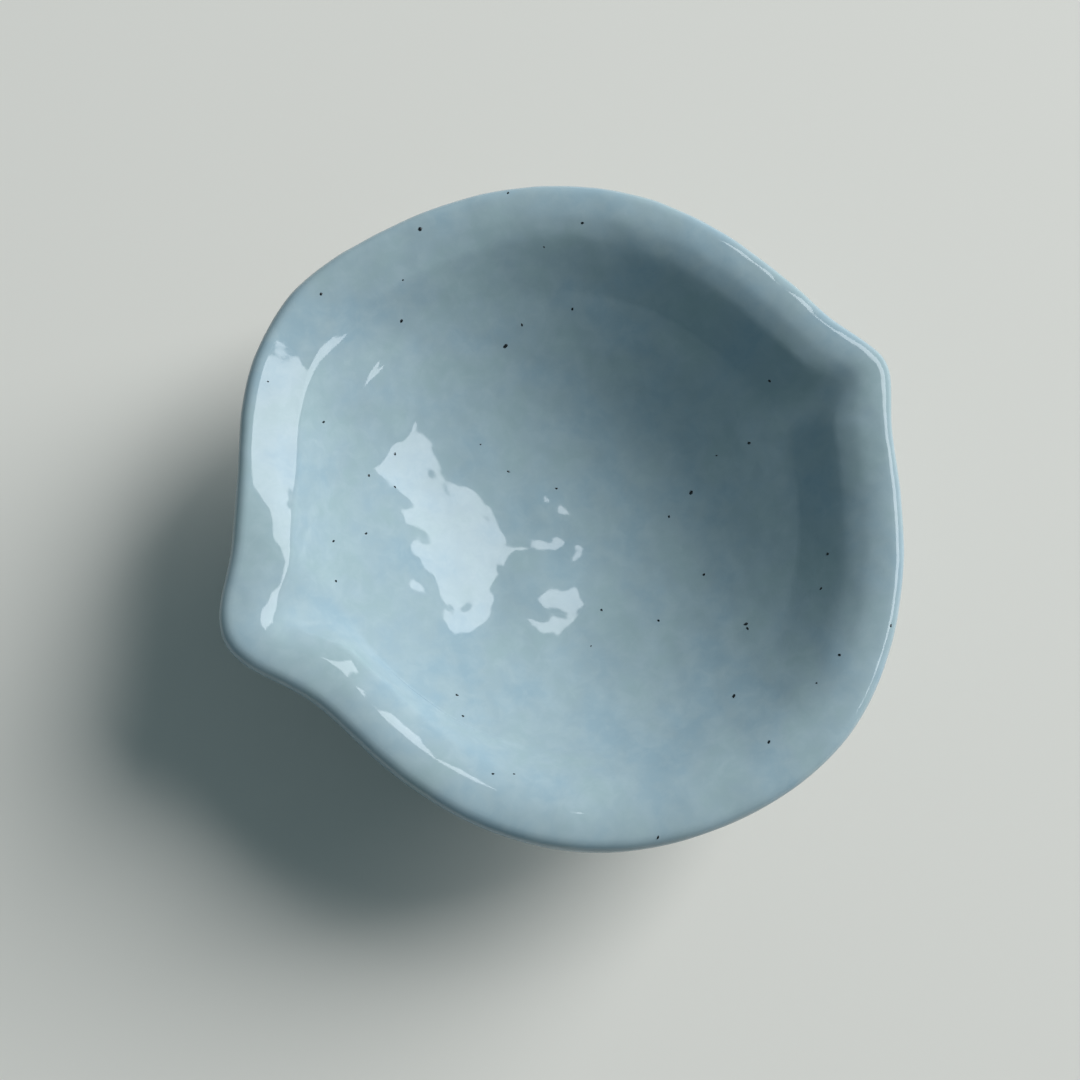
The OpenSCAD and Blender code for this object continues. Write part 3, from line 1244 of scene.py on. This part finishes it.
# Specks that the photograph shows: pixel column and row, and width in millimetres
SEEN_SPECKS: tuple[tuple[float, float, float], ...] = (
    (420.0, 229.0, 0.70),
    (508.0, 193.0, 0.40),
    (582.5, 223.0, 0.45),
    (321.0, 294.0, 0.45),
    (401.5, 321.0, 0.50),
    (505.5, 346.0, 0.72),
    (522.0, 325.0, 0.42),
    (572.5, 309.0, 0.45),
    (403.0, 280.0, 0.30),
    (268.0, 381.5, 0.30),
    (323.5, 422.0, 0.45),
    (369.0, 475.5, 0.42),
    (395.0, 454.0, 0.40),
    (395.0, 487.0, 0.38),
    (508.5, 471.5, 0.42),
    (556.5, 488.5, 0.42),
    (480.5, 444.5, 0.28),
    (769.5, 381.0, 0.45),
    (749.0, 443.0, 0.50),
    (691.0, 492.5, 0.66),
    (669.0, 516.5, 0.42),
    (716.5, 455.5, 0.30),
    (827.5, 554.0, 0.45),
    (821.0, 588.5, 0.42),
    (704.0, 574.5, 0.50),
    (601.5, 610.0, 0.42),
    (658.5, 620.5, 0.42),
    (746.0, 624.0, 0.62),
    (747.5, 628.5, 0.48),
    (591.0, 646.0, 0.28),
    (734.0, 696.0, 0.60),
    (769.0, 742.0, 0.50),
    (839.5, 655.0, 0.45),
    (816.5, 683.0, 0.30),
    (333.5, 541.0, 0.42),
    (366.0, 533.5, 0.42),
    (336.0, 581.0, 0.40),
    (457.0, 695.0, 0.42),
    (463.0, 716.0, 0.40),
    (493.0, 774.0, 0.38),
    (514.0, 774.0, 0.30),
    (891.0, 625.5, 0.40),
    (658.0, 837.5, 0.42),
    (544.0, 247.0, 0.28),
)


@dataclass
class IronSpecks:
    """Iron grains that lie half sunk in the glaze, seen ones in place and others scattered."""

    surface: BVHTree
    view: Viewpoint = field(default_factory=Viewpoint)
    scattered: int = 70
    least: float = 0.24
    most: float = 0.62
    flatness: float = 0.16
    longest: float = 1.35
    subdivisions: int = 2
    roughness: float = 0.22
    lowest: float = 6.0
    highest: float = 26.0
    # Well outside the dish, where the search for a scattered speck's place starts
    reach: float = 100.0
    seed: int = 7

    def grain(
        self,
        bm: BMesh,
        place: Vector,
        normal: Vector,
        width: float,
        dice: random.Random,
    ) -> None:
        """Adds one flattened, uneven grain, sunk to its middle.

        Args:
            bm: Mesh of the specks.
            place: Its place on the glaze.
            normal: The glaze's normal there.
            width: Its width in millimetres.
            dice: Source of its unevenness.
        """
        upright = normal.to_track_quat("Z", "Y").to_matrix().to_4x4()
        spun = Matrix.Rotation(dice.uniform(0.0, math.pi), 4, "Z")
        long = dice.uniform(1.0, self.longest)
        sizes = Matrix.Diagonal((long, 1.0 / long, self.flatness, 1.0))
        made = bmesh.ops.create_icosphere(
            bm,
            subdivisions=self.subdivisions,
            radius=width / 2.0 * MM,
            matrix=Matrix.Translation(place) @ upright @ spun @ sizes,
        )
        for vert in made["verts"]:
            vert.co += (vert.co - place) * dice.uniform(-self.roughness, self.roughness)

    def build(self, finish: MeltedIron) -> Object:
        """Makes all specks as one piece.

        Args:
            finish: Their finish.

        Returns:
            The piece.
        """
        dice = random.Random(self.seed)
        bm = bmesh.new()
        for column, row, width in SEEN_SPECKS:
            place, normal, _, _ = self.surface.ray_cast(*self.view.sight(column, row))
            if place is None:
                log.warning("no glaze under the speck at %s, %s", column, row)
                continue
            self.grain(bm, place, normal, width, dice)
        for _ in range(self.scattered):
            angle = dice.uniform(0.0, 2.0 * math.pi)
            out = Vector((math.cos(angle), math.sin(angle), 0.0))
            height = dice.uniform(self.lowest, self.highest) * MM
            start = out * self.reach * MM + Vector((0.0, 0.0, height))
            place, normal, _, _ = self.surface.ray_cast(start, -out)
            width = mix(self.least, self.most, dice.random() ** 2)
            self.grain(bm, place, normal, width, dice)
        bmesh.ops.recalc_face_normals(bm, faces=bm.faces[:])
        return finish_piece(bm, "iron_specks", Slot.INSIDE, finish.material())


@dataclass
class ClayParts:
    """The bowl, the foot ring and the slip between them, which keep their own solids."""

    finishes: tuple[tuple[str, Stoneware], ...] = (
        ("clay_bowl", Stoneware("bisque_stoneware_body", toast_share=0.0)),
        ("foot_ring", Stoneware("bare_stoneware_foot")),
        (
            "luting_slip",
            Stoneware("fired_slip", middle="#7E6A52", dark="#65533F", light="#94806A"),
        ),
    )

    def dress(self) -> None:
        """Gives each solid its material."""
        for name, finish in self.finishes:
            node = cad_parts[name]
            node.data.materials.clear()
            node.data.materials.append(finish.material())
            log.info("%s: dressed as %s", name, finish.name)


@dataclass
class Studio:
    """A pale floor, one soft key light from the side of the front corner, and a low fill."""

    # The key light is an upright window: its direction, distance, bottom, top and width in metres
    key_azimuth: float = 10.0
    key_distance: float = 3.0
    key_bottom: float = 0.72
    key_top: float = 3.84
    key_width: float = 2.1
    key_power: float = 258.0
    # The card that the glaze mirrors is level; its ends are in shares of its height
    card_azimuth: float = 18.5
    card_height: float = 2.0
    card_slopes: Point = (0.594, 1.159)
    card_sides: Point = (-0.85, 0.249)
    card_strength: float = 5.0
    card_colour: str = "#F4FAFF"
    fill: float = 0.245
    fill_colour: str = "#BEDCE5"
    floor_colour: str = "#D8D6D0"
    floor_roughness: float = 0.8
    backdrop_colour: str = "#DEDDD8"
    floor_radius: float = 3.0
    floor_sides: int = 96

    def key_place(self) -> Matrix:
        """Matrix that carries a light shining down its own Z to the upright window."""
        turn = Matrix.Rotation(math.radians(self.key_azimuth), 4, "Z")
        height = (self.key_bottom + self.key_top) / 2.0
        place = Matrix.Translation((self.key_distance, 0.0, height))
        left, up, out = (0.0, 1.0, 0.0), (0.0, 0.0, 1.0), (1.0, 0.0, 0.0)
        return turn @ place @ Matrix((left, up, out)).transposed().to_4x4()

    def card_place(self) -> Matrix:
        """Matrix that carries a square metre to the level card over and beside the dish."""
        turn = Matrix.Rotation(math.radians(self.card_azimuth), 4, "Z")
        near, far = self.card_slopes
        right, left = self.card_sides
        middle = Vector(((near + far) / 2.0, (right + left) / 2.0, 1.0)) * self.card_height
        size = Vector((far - near, left - right)) * self.card_height
        return turn @ Matrix.Translation(middle) @ Matrix.Diagonal((*size, 1.0, 1.0))

    def build(self) -> None:
        """Makes the floor, the lights and the world."""
        scene = bpy.context.scene
        scene.view_settings.view_transform = "Standard"
        self.build_floor()
        self.build_key()
        self.build_world()
        log.info("studio: floor, key light, window card and world")

    def build_floor(self) -> None:
        """Makes the plain pale floor that the dish stands on."""
        bm = bmesh.new()
        bmesh.ops.create_circle(
            bm, cap_ends=True, segments=self.floor_sides, radius=self.floor_radius
        )
        made = bpy.data.materials.new("matt_pale_board")
        made.use_nodes = True
        shader = made.node_tree.nodes["Principled BSDF"]
        shader.inputs["Base Color"].default_value = linear(self.floor_colour)
        shader.inputs["Roughness"].default_value = self.floor_roughness
        add_mesh(bm, "floor", made)

    def build_key(self) -> None:
        """Makes the key light, and the card that the glaze mirrors in its place."""
        data = bpy.data.lights.new("key_light", "AREA")
        data.shape = "RECTANGLE"
        data.size = self.key_width
        data.size_y = self.key_top - self.key_bottom
        data.energy = self.key_power
        key = add_object("key_light", data)
        key.matrix_world = self.key_place()
        key.visible_glossy = False

        bm = bmesh.new()
        bmesh.ops.create_grid(bm, x_segments=1, y_segments=1, size=0.5, matrix=self.card_place())
        made = bpy.data.materials.new("window_glow")
        tree = emptied_tree(made)
        glow = add_node(
            tree,
            "Emission",
            values={"Color": linear(self.card_colour), "Strength": self.card_strength},
        ).outputs["Emission"]
        add_node(tree, "OutputMaterial", links={"Surface": glow})
        card = add_mesh(bm, "window_card", made)
        card.visible_camera = False
        card.visible_diffuse = False
        card.visible_shadow = False
        card.visible_transmission = False

    def build_world(self) -> None:
        """Makes the low fill, and the pale backdrop that only the camera sees."""
        world = bpy.data.worlds.new("world")
        bpy.context.scene.world = world
        tree = emptied_tree(world)
        fill = add_node(
            tree,
            "Background",
            values={"Color": linear(self.fill_colour), "Strength": self.fill},
        ).outputs["Background"]
        backdrop = add_node(
            tree,
            "Background",
            values={"Color": linear(self.backdrop_colour), "Strength": 1.0},
        ).outputs["Background"]
        seen = add_node(tree, "LightPath").outputs["Is Camera Ray"]
        both = add_node(tree, "MixShader", links={0: seen, 1: fill, 2: backdrop})
        add_node(tree, "OutputWorld", links={"Surface": both.outputs["Shader"]})


def main() -> None:
    """Builds the dish's looks piece by piece, then the studio round it."""
    logging.basicConfig(level=logging.INFO, format="%(name)s: %(message)s")
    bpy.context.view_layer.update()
    view = Viewpoint()
    ClayParts().dress()
    coats = GlazeCoats()
    coats.build(FiredGlaze("poured_glaze"), FiredGlaze("dipped_glaze"))
    FootCoat(coats).build(FiredGlaze("foot_glaze"))
    IronSpecks(coats.surface, view).build(MeltedIron())
    view.build()
    Studio().build()


if __name__ == "__main__":
    main()
